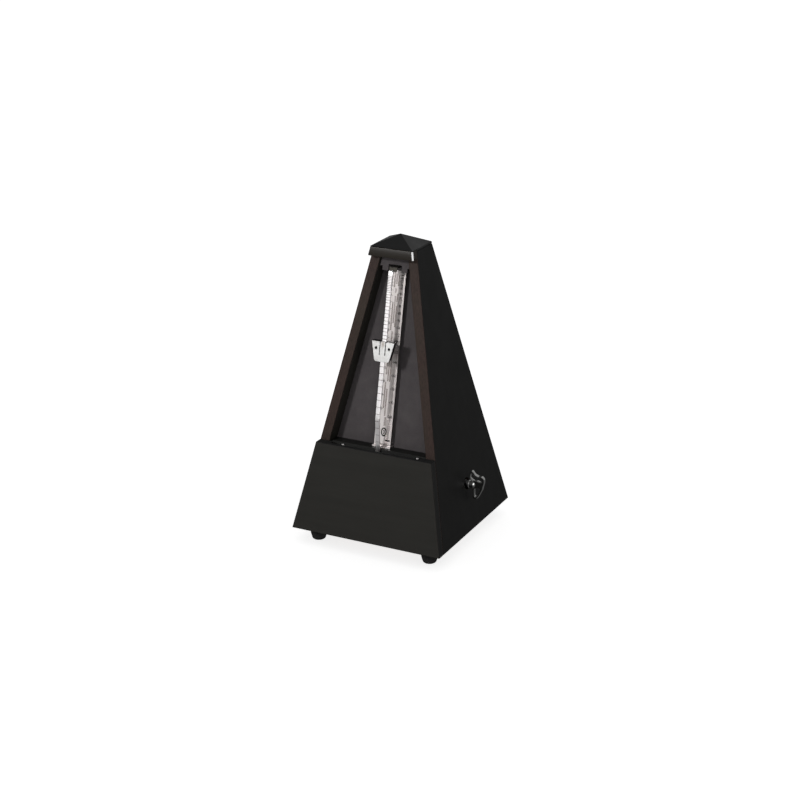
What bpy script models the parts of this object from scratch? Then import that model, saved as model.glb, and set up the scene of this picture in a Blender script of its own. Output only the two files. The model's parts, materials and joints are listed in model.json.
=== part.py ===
"""Pyramid metronome with its clockwork: tapered case, swinging rod with a sliding weight, and winding key.

Lengths are millimetres in the case's own axes, turned to metres when a mesh is made: x to the right, y from
the front board's bottom edge towards the back, z up from the case's underside. The feet reach below z = 0.
"""

import math

import bmesh
import bpy
from mathutils import Vector

# Case
WIDTH = 115.0  # base square
SIDE_LEAN = 0.2086  # inward run of the sides per unit of height
FRONT_LEAN = 0.2162  # inward run of the front and back per unit of height
EAVE_Z = 198.8
APEX_Z = 205.8
SIDE_T = 7.2
BACK_T = 6.0
BASE_T = 5.0
PANEL_TOP_Z = 197.3
STRIP_D = 6.5  # how far the side panels' front edges lie behind the front board's face
BOARD_TOP_Z = 62.4
BOARD_T = 6.2
BOARD_LIP_T = 2.8
FASCIA_Z = 192.4
LEDGE_Z = 61.4
LEDGE_D = 9.8
CLIP_X = (-28.0, 29.8)
DIAL_D = 18.0
DIAL_T = 3.0
CROSSBAR_D = 9.0
CROSSBAR_Z = 181.6
GAP = 0.3

# Feet
FOOT_H = 10.5
FOOT_X = 43.5
FOOT_Y = 13.5

# Scale
SCALE_D = 14.0
SCALE_HALF = 6.3
SCALE_T = 0.6
SCALE_Z = (62.1, 181.0)

# Pendulum
PIVOT_Y = 21.26
PIVOT_Z = 50.0
ROD_D = 3.1
ROD_HALF = 1.55
ROD_T = 1.0
ROD_TOP_Z = 183.5
BEND_Z = (PIVOT_Y - ROD_D) / FRONT_LEAN
BOB_DROP = 30.0
BOB_R = 12.5
BOB_Y = (22.1, 33.6)
READING_DROP = 6.6  # from the weight's top edge to its centre
TEMPO_TERM = 1.31358  # pull of the bob against the weight, m2/s2
TEMPO_INERTIA = 0.008263  # inertia of the pendulum per unit of the weight's mass, m2

# Sliding weight
WEIGHT_TOP_Z = 136.7
WEIGHT_H = 13.3
WEIGHT_HALF = (5.5, 8.4)
WEIGHT_D = (1.7, 4.4)
FACE_D = (0.9, 1.4)

# Clockwork
KEY_Y = 57.5
KEY_Z = 32.2
PLATE_X = (24.0, 25.5)
ESCAPE_Y = 42.0
ESCAPE_Z = 50.0
BARREL_MODULE = 0.7
BARREL_TEETH = 60
CENTRE_LEAVES = 12
CENTRE_MODULE = 0.5
CENTRE_TEETH = 36
ESCAPE_LEAVES = 12
CROWN_TEETH = 15
CROWN_R = 9.0
RATCHET_TEETH = 24
RATCHET_R = 8.5
RATCHET_X = (26.3, 28.1)
PILLARS = ((38.5, 9.5), (78.0, 9.5), (78.0, 60.0), (38.5, 63.5))
PILLAR_NAMES = ("front_lower", "rear_lower", "rear_upper", "front_upper")
PILLAR_HOLE_R = 1.6
ARBOR_HOLE_R = 1.2
STUD_HOLE_R = 1.5
MOUNT_X = 31.0
MOUNT_Y = 60.0
CLICK_Y = 70.5
CLICK_Z = 40.0
CLICK_R = 2.6
CLICK_BEARING = math.radians(10.0)  # where the click's nose stands round the ratchet

# Key
KEY_REACH = 14.1  # from the side panel's face at the key's height
KEY_TILT = math.radians(8.0)
SHIFT_X = -(KEY_REACH - SIDE_LEAN * KEY_Z) / 2  # centres the case and key together

MM = 0.001


def third_corner(a, b, from_a, from_b):
    """The point at given distances from a and b, on the left of the way from a to b."""
    (ay, az), (by, bz) = a, b
    gap = math.hypot(by - ay, bz - az)
    run = (gap**2 + from_a**2 - from_b**2) / (2 * gap)
    rise = math.sqrt(from_a**2 - run**2)
    uy, uz = (by - ay) / gap, (bz - az) / gap
    return ay + uy * run - uz * rise, az + uz * run + uy * rise


CENTRE_Y, CENTRE_Z = third_corner(
    (ESCAPE_Y, ESCAPE_Z),
    (KEY_Y, KEY_Z),
    CENTRE_MODULE * (CENTRE_TEETH + ESCAPE_LEAVES) / 2,
    BARREL_MODULE * (BARREL_TEETH + CENTRE_LEAVES) / 2,
)


def half_x(z):
    """Half the case's width at height z."""
    return WIDTH / 2 - SIDE_LEAN * z


def front_y(z):
    return FRONT_LEAN * z


def back_y(z):
    return WIDTH - FRONT_LEAN * z


def world(x, y, z):
    return Vector(((x + SHIFT_X) * MM, (y - WIDTH / 2) * MM, (z + FOOT_H) * MM))


def circle(cu, cv, radius, count, phase=0.0):
    turns = [phase + 2 * math.pi * i / count for i in range(count)]
    return [(cu + radius * math.cos(a), cv + radius * math.sin(a)) for a in turns]


def box_points(u0, u1, v0, v1):
    return [(u0, v0), (u1, v0), (u1, v1), (u0, v1)]


# Meshes. Each builder returns a bmesh in world metres.


def solid(points, faces):
    bm = bmesh.new()
    verts = [bm.verts.new(world(*p)) for p in points]
    for face in faces:
        bm.faces.new([verts[i] for i in face])
    bmesh.ops.recalc_face_normals(bm, faces=bm.faces)
    return bm


def hexahedron(low, high):
    """Two four-cornered rings, joined."""
    faces = [(3, 2, 1, 0), (4, 5, 6, 7)] + [(i, (i + 1) % 4, 4 + (i + 1) % 4, 4 + i) for i in range(4)]
    return solid(list(low) + list(high), faces)


def prism(outline, holes, near, far):
    """A flat outline with holes, filled and closed between the two placing functions near and far."""
    bm = bmesh.new()
    rings = []
    for loop in [outline] + list(holes):
        verts = [bm.verts.new((u, v, 0.0)) for u, v in loop]
        edges = [bm.edges.new((verts[i], verts[(i + 1) % len(verts)])) for i in range(len(verts))]
        rings.append((verts, edges))
    outlines = [edge for _, edges in rings for edge in edges]
    bmesh.ops.triangle_fill(bm, use_beauty=True, use_dissolve=False, edges=outlines)
    flat = list(bm.faces)
    twins = {v: bm.verts.new(v.co) for verts, _ in rings for v in verts}
    for face in flat:
        bm.faces.new([twins[v] for v in reversed(face.verts)])
    for verts, _ in rings:
        for i, v in enumerate(verts):
            nxt = verts[(i + 1) % len(verts)]
            bm.faces.new((v, nxt, twins[nxt], twins[v]))
    for v, twin in twins.items():
        u, w = v.co.x, v.co.y
        v.co = world(*near(u, w))
        twin.co = world(*far(u, w))
    bmesh.ops.recalc_face_normals(bm, faces=bm.faces)
    return bm


def sloped(outline, holes, d0, d1):
    """An outline in x and z, between two depths behind the sloping front."""
    return prism(
        outline, holes, lambda x, z: (x, front_y(z) + d0, z), lambda x, z: (x, front_y(z) + d1, z)
    )


def across(outline, holes, x0, x1):
    """An outline in y and z, from x0 to x1."""
    return prism(outline, holes, lambda y, z: (x0, y, z), lambda y, z: (x1, y, z))


def upright(outline, holes, z0, z1):
    """An outline in x and y, from z0 to z1."""
    return prism(outline, holes, lambda x, y: (x, y, z0), lambda x, y: (x, y, z1))


def turned(profile, axis, centre, count):
    """A closed (run, radius) profile spun about a case axis; points of zero radius become poles."""
    bm = bmesh.new()
    rings = []
    for run, radius in profile:
        ring = []
        for i in range(1 if radius == 0 else count):
            a = 2 * math.pi * i / count
            c, s = radius * math.cos(a), radius * math.sin(a)
            offset = {"X": (run, c, s), "Y": (s, run, c), "Z": (c, s, run)}[axis]
            ring.append(bm.verts.new(world(*(centre[k] + offset[k] for k in range(3)))))
        rings.append(ring)
    open_ended = profile[0][1] == 0
    pairs = list(zip(rings, rings[1:])) + ([] if open_ended else [(rings[-1], rings[0])])
    for a, b in pairs:
        for i in range(count):
            quad = [a[i % len(a)], a[(i + 1) % len(a)], b[(i + 1) % len(b)], b[i % len(b)]]
            corners = list(dict.fromkeys(quad))
            if len(corners) > 2:
                bm.faces.new(corners)
    bmesh.ops.recalc_face_normals(bm, faces=bm.faces)
    return bm


def ribbon(stations):
    """A strip through (z, half width, y front, y back) stations."""
    points, faces = [], []
    for z, half, y0, y1 in stations:
        points += [(-half, y0, z), (half, y0, z), (half, y1, z), (-half, y1, z)]
    for k in range(len(stations) - 1):
        for i in range(4):
            j = (i + 1) % 4
            faces.append((4 * k + i, 4 * k + j, 4 * k + 4 + j, 4 * k + 4 + i))
    last = 4 * (len(stations) - 1)
    faces += [(3, 2, 1, 0), (last, last + 1, last + 2, last + 3)]
    return solid(points, faces)


def gear_outline(cy, cz, teeth, module, phase, addendum=0.9, dedendum=1.15, thick=0.44):
    """Tooth flanks taper from root to tip; thick is the tooth's share of the pitch at the pitch circle."""
    pitch = module * teeth / 2
    step = 2 * math.pi / teeth
    levels = ((pitch - dedendum * module, 1.45), (pitch, 1.0), (pitch + addendum * module, 0.42))
    points = []
    for k in range(teeth):
        mid = phase + k * step
        for side, order in ((-1, levels), (1, levels[::-1])):
            for radius, share in order:
                a = mid + side * step * thick * share / 2
                points.append((cy + radius * math.cos(a), cz + radius * math.sin(a)))
    return points


def band(points, half):
    """The outline of a thin strip along a bent line."""
    sides = ([], [])
    for i, (u, v) in enumerate(points):
        (u0, v0), (u1, v1) = points[max(i - 1, 0)], points[min(i + 1, len(points) - 1)]
        length = math.hypot(u1 - u0, v1 - v0)
        nu, nv = -(v1 - v0) / length * half, (u1 - u0) / length * half
        sides[0].append((u + nu, v + nv))
        sides[1].append((u - nu, v - nv))
    return sides[0] + sides[1][::-1]


def ratchet_outline(cy, cz, teeth, root, tip):
    """Saw teeth: a long slope up to each tip, then a steep face."""
    step = 2 * math.pi / teeth
    points = []
    for k in range(teeth):
        a = k * step
        points.append((cy + root * math.cos(a), cz + root * math.sin(a)))
        points.append((cy + tip * math.cos(a + step * 0.94), cz + tip * math.sin(a + step * 0.94)))
    return points


# Objects


def material(name, colour, metallic, roughness):
    mat = bpy.data.materials.new(name)
    mat.use_nodes = True
    shader = mat.node_tree.nodes["Principled BSDF"]
    shader.inputs["Base Color"].default_value = (*colour, 1.0)
    shader.inputs["Metallic"].default_value = metallic
    shader.inputs["Roughness"].default_value = roughness
    return mat


FINISH = {
    "lacquer": ((0.018, 0.018, 0.016), 0.0, 0.35),
    "wood": ((0.045, 0.028, 0.024), 0.0, 0.6),
    "dial": ((0.055, 0.048, 0.052), 0.0, 0.8),
    "silver": ((0.78, 0.77, 0.76), 1.0, 0.35),
    "steel": ((0.62, 0.62, 0.63), 1.0, 0.3),
    "chrome": ((0.82, 0.82, 0.83), 1.0, 0.1),
    "brass": ((0.75, 0.56, 0.26), 1.0, 0.35),
    "rubber": ((0.02, 0.02, 0.02), 0.0, 0.7),
}

SMOOTH_ANGLE = math.radians(35.0)


def add(name, bm, finish, pivot=(0.0, 0.0, 0.0), parent=None):
    """Makes the object with its origin at pivot, given in case millimetres."""
    origin = world(*pivot)
    bmesh.ops.translate(bm, verts=bm.verts, vec=-origin)
    for edge in bm.edges:
        edge.smooth = edge.is_manifold and edge.calc_face_angle(0.0) < SMOOTH_ANGLE
    for face in bm.faces:
        face.smooth = True
    mesh = bpy.data.meshes.new(name)
    bm.to_mesh(mesh)
    bm.free()
    obj = bpy.data.objects.new(name, mesh)
    obj.location = origin
    bpy.context.scene.collection.objects.link(obj)
    if finish:
        colour, metallic, roughness = FINISH[finish]
        mesh.materials.append(material(name, colour, metallic, roughness))
    if parent:
        obj.parent = parent
        obj.matrix_parent_inverse = parent.matrix_world.inverted()
    return obj


def boolean(target, tool_bm, operation, tag):
    tool = add(f"tool_{target.name}_{tag}", tool_bm, None)
    tool.hide_render = True
    tool.display_type = "WIRE"
    modifier = target.modifiers.new(tag, "BOOLEAN")
    modifier.object = tool
    modifier.operation = operation
    modifier.solver = "EXACT"


def soften(bm, width, segments=2):
    sharp = [e for e in bm.edges if e.is_manifold and e.calc_face_angle(0.0) > SMOOTH_ANGLE]
    bmesh.ops.bevel(bm, geom=sharp, offset=width * MM, segments=segments, profile=0.5, affect="EDGES")
    return bm


def empty(name, pivot, parent=None):
    obj = bpy.data.objects.new(name, None)
    obj.location = world(*pivot)
    bpy.context.scene.collection.objects.link(obj)
    if parent:
        obj.parent = parent
        obj.matrix_parent_inverse = parent.matrix_world.inverted()
    bpy.context.view_layer.update()
    return obj


# Case


def side_panel(sign):
    def ring(z):
        outer, inner = sign * half_x(z), sign * (half_x(z) - SIDE_T)
        y0, y1 = front_y(z) + STRIP_D, back_y(z)
        return [(outer, y0, z), (outer, y1, z), (inner, y1, z), (inner, y0, z)]

    return soften(hexahedron(ring(0.0), ring(PANEL_TOP_Z)), 0.45)


def sloped_board(z0, z1, d0, d1, inset):
    def ring(z):
        x, y = half_x(z) - inset, front_y(z)
        return [(-x, y + d0, z), (x, y + d0, z), (x, y + d1, z), (-x, y + d1, z)]

    return hexahedron(ring(z0), ring(z1))


def back_board():
    def ring(z):
        x, y = half_x(z) - SIDE_T - GAP, back_y(z)
        return [(-x, y - BACK_T, z), (x, y - BACK_T, z), (x, y, z), (-x, y, z)]

    return soften(hexahedron(ring(0.0), ring(PANEL_TOP_Z)), 0.3, 1)


def roof_cap():
    """A low pyramid whose rim laps the side and back panels, with a plug that drops between them."""
    rim, band, plug = EAVE_Z, PANEL_TOP_Z + GAP, 190.3

    def ring(z, inset, y_front):
        x = half_x(z) - inset
        return [(-x, y_front, z), (x, y_front, z), (x, back_y(z) - inset, z), (-x, back_y(z) - inset, z)]

    step = SIDE_T + GAP
    points = ring(rim, 0.0, front_y(rim))
    points += [(-half_x(rim), front_y(rim) + STRIP_D, rim), (half_x(rim), front_y(rim) + STRIP_D, rim)]
    points += ring(band, 0.0, front_y(band) + STRIP_D)
    points += ring(band, step, front_y(band) + STRIP_D + 1.0)
    points += ring(plug, step, front_y(plug) + STRIP_D + 1.0)
    points.append((0.0, WIDTH / 2, APEX_Z))
    faces = [(0, 1, 18), (1, 5, 2, 18), (2, 3, 18), (3, 4, 0, 18), (0, 4, 5, 1)]
    faces += [(4, 6, 7, 5), (5, 7, 8, 2), (2, 8, 9, 3), (3, 9, 6, 4)]
    faces += [(6, 10, 11, 7), (7, 11, 12, 8), (8, 12, 13, 9), (9, 13, 10, 6)]
    faces += [(10, 14, 15, 11), (11, 15, 16, 12), (12, 16, 17, 13), (13, 17, 14, 10), (14, 17, 16, 15)]
    return solid(points, faces)


def crossbar():
    """A bar under the fascia with a middle notch for the catch and a relief at each end."""
    top, low, relief = 190.0, CROSSBAR_Z, 184.4
    x_top, x_mid, x_low = (half_x(z) - SIDE_T - GAP for z in (top, relief, low))
    outline = [(-x_top, top), (-x_mid, relief), (-x_mid + 2.2, relief), (-x_mid + 2.2, low), (-5.0, low)]
    outline += [(-5.0, 186.0), (5.0, 186.0), (5.0, low), (x_mid - 2.2, low), (x_mid - 2.2, relief)]
    outline += [(x_mid, relief), (x_top, top)]
    return sloped(outline, [], CROSSBAR_D, DIAL_D - GAP)


def build_case(root):
    add("left_panel", side_panel(-1), "lacquer", parent=root)
    right = add("right_panel", side_panel(1), "lacquer", parent=root)
    hole = turned([(36.0, 0.0), (36.0, 4.2), (60.0, 4.2), (60.0, 0.0)], "X", (0, KEY_Y, KEY_Z), 28)
    boolean(right, hole, "DIFFERENCE", "keyhole")
    add("back_panel", back_board(), "lacquer", parent=root)

    front = soften(sloped_board(0.0, BOARD_TOP_Z, 0.0, BOARD_T, 0.0), 0.45)
    board = add("front_board", front, "lacquer", parent=root)
    rebate = sloped(box_points(-34.0, 34.0, 48.0, 70.0), [], BOARD_LIP_T, BOARD_T + 3.0)
    boolean(board, rebate, "DIFFERENCE", "rebate")

    inner = half_x(BASE_T) - SIDE_T - GAP
    floor = box_points(-inner, inner, front_y(BASE_T) + BOARD_T + GAP, back_y(BASE_T) - BACK_T - GAP)
    bores = [circle(x, y, 1.6, 12) for x in (-FOOT_X, FOOT_X) for y in (FOOT_Y, WIDTH - FOOT_Y)]
    bores += [circle(x, MOUNT_Y, 1.3, 12) for x in (-MOUNT_X, MOUNT_X)]
    add("base_board", upright(floor, bores, 0.0, BASE_T), "wood", parent=root)

    add("roof_cap", roof_cap(), "lacquer", parent=root)
    fascia = sloped_board(FASCIA_Z, EAVE_Z - GAP, 0.0, BOARD_T, 0.0)
    add("top_fascia", soften(fascia, 0.4), "lacquer", parent=root)
    add("top_crossbar", crossbar(), "dial", parent=root)

    shelf = sloped_board(57.0, LEDGE_Z, LEDGE_D, DIAL_D - GAP, SIDE_T + GAP)
    add("ledge_shelf", soften(shelf, 0.4, 1), "lacquer", parent=root)
    add("dial_panel", sloped_board(57.0, 190.0, DIAL_D, DIAL_D + DIAL_T, SIDE_T + GAP), "dial", parent=root)
    for x, side in zip(CLIP_X, ("left", "right")):
        add(f"cover_clip_{side}", cover_clip(x), "steel", parent=root)
    scale = add("scale_plate", scale_plate(), "silver", parent=root)
    boolean(scale, scale_foot(), "UNION", "foot")
    add("rod_catch", rod_catch(), "steel", parent=root)


def cover_clip(x):
    """A small hooked tab on the ledge's front face that holds the foot of the front cover."""
    half, t, low, high, hook = 0.9, 0.4, 57.9, 60.5, 1.3
    d, floor, tip = LEDGE_D - GAP, 58.8, 60.0
    profile = [(d, low), (d, high), (d - t, high), (d - t, floor), (d - hook, floor), (d - hook, tip)]
    profile += [(d - hook - t, tip), (d - hook - t, low)]
    return across([(front_y(z) + depth, z) for depth, z in profile], [], x - half, x + half)


def scale_plate():
    """A flat strip with clipped upper corners and a short level slot near its foot."""
    z0, z1 = SCALE_Z
    clip, slot_x, slot_z, slot_half, slot_r = 0.8, 3.6, 66.2, 1.4, 0.6
    slot = []
    for side, start in ((1, -90), (-1, 90)):
        for a in (math.radians(start + 30 * i) for i in range(7)):
            slot.append((slot_x + side * slot_half + slot_r * math.cos(a), slot_z + slot_r * math.sin(a)))
    outline = [(-SCALE_HALF, z0), (SCALE_HALF, z0), (SCALE_HALF, z1 - clip), (SCALE_HALF - clip, z1)]
    outline += [(-SCALE_HALF + clip, z1), (-SCALE_HALF, z1 - clip)]
    return sloped(outline, [slot], SCALE_D, SCALE_D + SCALE_T)


def scale_foot():
    """The bright strip folded out of the scale's lower end, which rests on the ledge."""
    z0, half = SCALE_Z[0], SCALE_HALF + 0.6
    return sloped(box_points(-half, half, LEDGE_Z + 0.1, z0 + 0.6), [], SCALE_D - 1.4, DIAL_D - GAP)


def rod_catch():
    """A leaf through the crossbar's notch, turned down just behind the tip of the rod."""
    d0, d1, x0, x1 = 5.2, 13.0, -2.3, 3.4
    profile = [(d0, 182.4), (d0 + 0.8, 182.4), (d0 + 0.8, 184.6), (d1, 184.6), (d1, 185.4), (d0, 185.4)]
    return across([(front_y(z) + d, z) for d, z in profile], [], x0, x1)


def build_feet(root):
    profile = [(-GAP, 1.6), (-GAP, 6.3), (-3.5, 6.2), (-6.5, 5.75), (-9.2, 5.0), (-10.1, 4.6)]
    profile += [(-FOOT_H, 4.1), (-FOOT_H, 2.9), (-7.5, 2.9), (-7.5, 1.6)]
    screw = [(-9.8, 0.0), (-9.8, 1.9), (-9.2, 2.5), (-7.8, 2.5), (-7.8, 1.3), (4.2, 1.3), (4.8, 0.0)]
    for y, row in ((FOOT_Y, "front"), (WIDTH - FOOT_Y, "back")):
        for x, side in ((-FOOT_X, "left"), (FOOT_X, "right")):
            add(f"foot_{row}_{side}", turned(profile, "Z", (x, y, 0), 24), "rubber", parent=root)
            add(f"foot_screw_{row}_{side}", turned(screw, "Z", (x, y, 0), 12), "steel", parent=root)


# Pendulum


def reading_z(beats):
    """Height of the weight's top edge at rest for a tempo in beats per minute."""
    w2 = (math.pi * beats / 60) ** 2
    root = math.sqrt(9.81**2 + 4 * w2 * (TEMPO_TERM - w2 * TEMPO_INERTIA))
    return PIVOT_Z + READING_DROP + 1000 * (root - 9.81) / (2 * w2)


def tempos():
    beats = list(range(40, 60, 2)) + list(range(60, 72, 3)) + list(range(72, 120, 4))
    return beats + list(range(120, 144, 6)) + list(range(144, 209, 8))


def rod_stations():
    """Notched on both edges at every tempo, bent from the sloping dial to the upright arm below it."""
    depth, half = 0.35, ROD_HALF
    rows = [(PIVOT_Z - BOB_DROP - 6.0, half), (BEND_Z, half)]
    for beats in tempos():
        z = reading_z(beats)
        if z > BEND_Z + 1.0:
            rows += [(z - 0.35, half), (z, half - depth), (z + 0.35, half)]
    rows.append((ROD_TOP_Z - 0.8, half))
    rows.append((ROD_TOP_Z, half - 0.7))
    stations = []
    for z, w in sorted(rows):
        y = max(PIVOT_Y, front_y(z) + ROD_D)
        stations.append((z, w, y - ROD_T / 2, y + ROD_T / 2))
    return stations


def build_pendulum(root):
    pivot = (0.0, PIVOT_Y, PIVOT_Z)
    swing = empty("pendulum_axis", pivot, root)
    add("pendulum_rod", ribbon(rod_stations()), "steel", pivot, swing)

    hub = [(22.1, 1.6), (22.1, 4.2), (24.0, 4.2), (24.6, 2.8), (26.6, 2.8), (26.6, 1.6)]
    add("pendulum_hub", turned(hub, "Y", (0, 0, PIVOT_Z), 20), "brass", pivot, swing)

    y0, y1 = BOB_Y
    bob = [(y0, 0.0), (y0, BOB_R - 1.2), (y0 + 1.2, BOB_R), (y1 - 1.2, BOB_R), (y1, BOB_R - 1.2), (y1, 0.0)]
    add("pendulum_bob", turned(bob, "Y", (0, 0, PIVOT_Z - BOB_DROP), 28), "brass", pivot, swing)

    staff = add("verge_staff", verge_staff(), "steel", pivot, swing)
    for tag, y, lean in (("front_pallet", ESCAPE_Y - CROWN_R, 1), ("rear_pallet", ESCAPE_Y + CROWN_R, -1)):
        boolean(staff, pallet(y, lean), "UNION", tag)
    return swing


def verge_staff():
    r, pivot_r = 1.2, 0.7
    run = [(22.4, 0.0), (22.4, r), (26.9, r), (27.3, pivot_r), (30.9, pivot_r), (31.2, r), (61.9, r)]
    run += [(62.2, pivot_r), (65.0, pivot_r), (65.0, 0.0)]
    return turned(run, "Y", (0, 0, PIVOT_Z), 14)


def pallet(y, lean):
    """A flat flag on the staff, slanting towards the escape wheel's teeth."""
    reach, half_t, half_w = 3.3, 0.35, 1.1
    a = math.radians(45.0) * lean
    along, normal = (-math.cos(a), math.sin(a)), (math.sin(a), math.cos(a))

    def at(run, side):
        return (along[0] * run + normal[0] * side, PIVOT_Z + along[1] * run + normal[1] * side)

    flag = [at(0.0, -half_t), at(reach, -half_t), at(reach, half_t), at(0.0, half_t)]
    return prism(flag, [], lambda x, z: (x, y - half_w, z), lambda x, z: (x, y + half_w, z))


def weight_outline(notches=()):
    """A trapezoid with rounded lower corners; the notches are cut down into its top edge."""
    (low, high), top = WEIGHT_HALF, WEIGHT_TOP_Z
    z0, r = top - WEIGHT_H, 1.3
    left = [(-low + r, z0), (-low + r * 0.3, z0 + r * 0.25), (-low - 0.25, z0 + r), (-high, top)]
    cuts = []
    for x0, x1, depth in notches:
        cuts += [(x0, top), (x0, top - depth), (x1, top - depth), (x1, top)]
    return left + cuts + [(-x, z) for x, z in left[::-1]]


def build_weight(swing):
    pivot = (0.0, front_y(WEIGHT_TOP_Z) + ROD_D, WEIGHT_TOP_Z)
    low, top, half, front = WEIGHT_TOP_Z - WEIGHT_H, WEIGHT_TOP_Z, 2.0, 2.3
    eyes = [circle(x, top - 4.4, 1.0, 12) for x in (-4.93, 4.93)]
    body = add("weight_body", sloped(weight_outline(), eyes, *WEIGHT_D), "steel", pivot, swing)
    channel = sloped(box_points(-half, half, low - 1.0, top - 2.0), [], front, WEIGHT_D[1] + 1.0)
    boolean(body, channel, "DIFFERENCE", "channel")
    passage = sloped(box_points(-half, half, top - 2.5, top + 1.0), [], front, WEIGHT_D[1] - 0.45)
    boolean(body, passage, "DIFFERENCE", "passage")

    slits = ((-2.45, -1.75, 8.8), (1.75, 2.45, 8.8))
    add("weight_face", sloped(weight_outline(slits), eyes, *FACE_D), "silver", pivot, swing)


# Clockwork


def movement_plate(sign):
    """A plate with an arm towards the front for the verge cock."""
    edge = [(36.2, 5.6), (82.0, 5.6), (82.0, 66.5), (36.6, 66.5), (36.6, 56.4), (26.8, 56.4)]
    edge += [(26.8, 44.0), (36.2, 44.0)]
    holes = [circle(y, z, PILLAR_HOLE_R, 12) for y, z in PILLARS]
    holes.append(circle(KEY_Y, KEY_Z, 2.9 if sign > 0 else 1.9, 16))
    holes.append(circle(CENTRE_Y, CENTRE_Z, ARBOR_HOLE_R, 12))
    if sign < 0:
        holes.append(circle(ESCAPE_Y, ESCAPE_Z, ARBOR_HOLE_R, 12))
    else:
        holes.append(circle(CLICK_Y, CLICK_Z, STUD_HOLE_R, 12))
    return across(edge, holes, sign * PLATE_X[0], sign * PLATE_X[1])


def build_frame(root):
    add("movement_plate_left", movement_plate(-1), "brass", parent=root)
    add("movement_plate_right", movement_plate(1), "brass", parent=root)
    reach = PLATE_X[0] - GAP
    for (y, z), name in zip(PILLARS, PILLAR_NAMES):
        pillar = [(-26.3, 0.0), (-26.3, 1.3), (-reach, 1.3), (-reach, 2.2), (reach, 2.2), (reach, 1.3)]
        pillar += [(26.0, 1.3), (26.0, 0.0)]
        add(f"pillar_{name}", turned(pillar, "X", (0, y, z), 12), "brass", parent=root)

    for name, y, x1 in (("front", 27.6, reach), ("rear", 62.4, 4.0)):
        bar = prism(
            box_points(-reach, x1, 46.8, 53.2),
            [circle(0.0, PIVOT_Z, 1.0, 12)],
            lambda x, z, y=y: (x, y, z),
            lambda x, z, y=y: (x, y + 2.8, z),
        )
        add(f"verge_cock_{name}", bar, "brass", parent=root)

    arm = box_points(ESCAPE_Y - 3.8, ESCAPE_Y + 4.0, 38.0, 54.0)
    eye = circle(ESCAPE_Y, ESCAPE_Z, STUD_HOLE_R - 0.2, 12)
    bridge = add("escape_bridge", across(arm, [eye], -13.0, -11.6), "brass", parent=root)
    leg = box_points(ESCAPE_Y - 3.8, ESCAPE_Y, 38.0, 42.0)
    boolean(bridge, across(leg, [], -reach, -12.3), "UNION", "leg")

    for sign, side in ((-1, "left"), (1, "right")):
        centre = (sign * MOUNT_X, MOUNT_Y, 0)
        foot = add(f"mounting_foot_{side}", mounting_foot(sign), "brass", parent=root)
        bore = [(BASE_T, 0.0), (BASE_T, 1.3), (BASE_T + 4.0, 1.3), (BASE_T + 4.0, 0.0)]
        boolean(foot, turned(bore, "Z", centre, 12), "DIFFERENCE", "bore")
        screw = [(0.8, 0.0), (0.8, 1.0), (6.8, 1.0), (6.8, 2.4), (7.8, 2.0), (8.2, 0.0)]
        add(f"mounting_screw_{side}", turned(screw, "Z", centre, 12), "steel", parent=root)


def mounting_foot(sign):
    """An angle bracket from the plate's outer face to the base board."""
    x0, x1, t, z = PLATE_X[1] + GAP, 35.0, 1.2, BASE_T + GAP
    profile = [(x0, z), (x1, z), (x1, z + t), (x0 + t, z + t), (x0 + t, 18.0), (x0, 18.0)]
    return prism(
        profile,
        [],
        lambda x, h: (sign * x, MOUNT_Y - 6.0, h),
        lambda x, h: (sign * x, MOUNT_Y + 6.0, h),
    )


def build_barrel(root):
    pivot = (0.0, KEY_Y, KEY_Z)
    axis = empty("barrel_axis", pivot, root)
    phase = math.atan2(CENTRE_Z - KEY_Z, CENTRE_Y - KEY_Y)
    teeth = gear_outline(KEY_Y, KEY_Z, BARREL_TEETH, BARREL_MODULE, phase)
    disc = across(teeth, [circle(KEY_Y, KEY_Z, 2.6, 32)], 7.5, 9.3)
    wheel = add("mainspring_barrel", disc, "brass", pivot, axis)
    wall = turned([(8.4, 16.3), (8.4, 17.5), (21.6, 17.5), (21.6, 16.3)], "X", (0, KEY_Y, KEY_Z), 32)
    boolean(wheel, wall, "UNION", "drum")
    cap = turned([(21.9, 2.6), (21.9, 17.5), (22.9, 17.5), (22.9, 2.6)], "X", (0, KEY_Y, KEY_Z), 32)
    add("barrel_cap", cap, "brass", pivot, axis)
    add("mainspring", mainspring(), "steel", pivot, axis)


def mainspring():
    """A flat spiral strip, wound between the arbor and the barrel's wall."""
    turns, per_turn, thick = 6, 16, 0.5
    inner, outer = 3.4, 15.6
    count = turns * per_turn
    points, faces = [], []
    for k in range(count + 1):
        a = 2 * math.pi * k / per_turn
        r = inner + (outer - inner) * k / count
        for radius, x in ((r, 10.2), (r + thick, 10.2), (r + thick, 20.8), (r, 20.8)):
            points.append((x, KEY_Y + radius * math.cos(a), KEY_Z + radius * math.sin(a)))
    for k in range(count):
        for i in range(4):
            j = (i + 1) % 4
            faces.append((4 * k + i, 4 * k + j, 4 * k + 4 + j, 4 * k + 4 + i))
    last = 4 * count
    faces += [(3, 2, 1, 0), (last, last + 1, last + 2, last + 3)]
    return solid(points, faces)


def arbor_profile(x_end):
    """A thin arbor with its left pivot in the left plate, and a right pivot too when it spans the frame."""
    left = [(-25.3, 0.0), (-25.3, 0.9), (-23.6, 0.9), (-23.4, 1.5)]
    if x_end < PLATE_X[0]:
        return left[:3] + [(-23.4, 1.0), (x_end, 1.0), (x_end, 0.0)]
    return left + [(-x, r) for x, r in left[::-1]]


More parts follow.
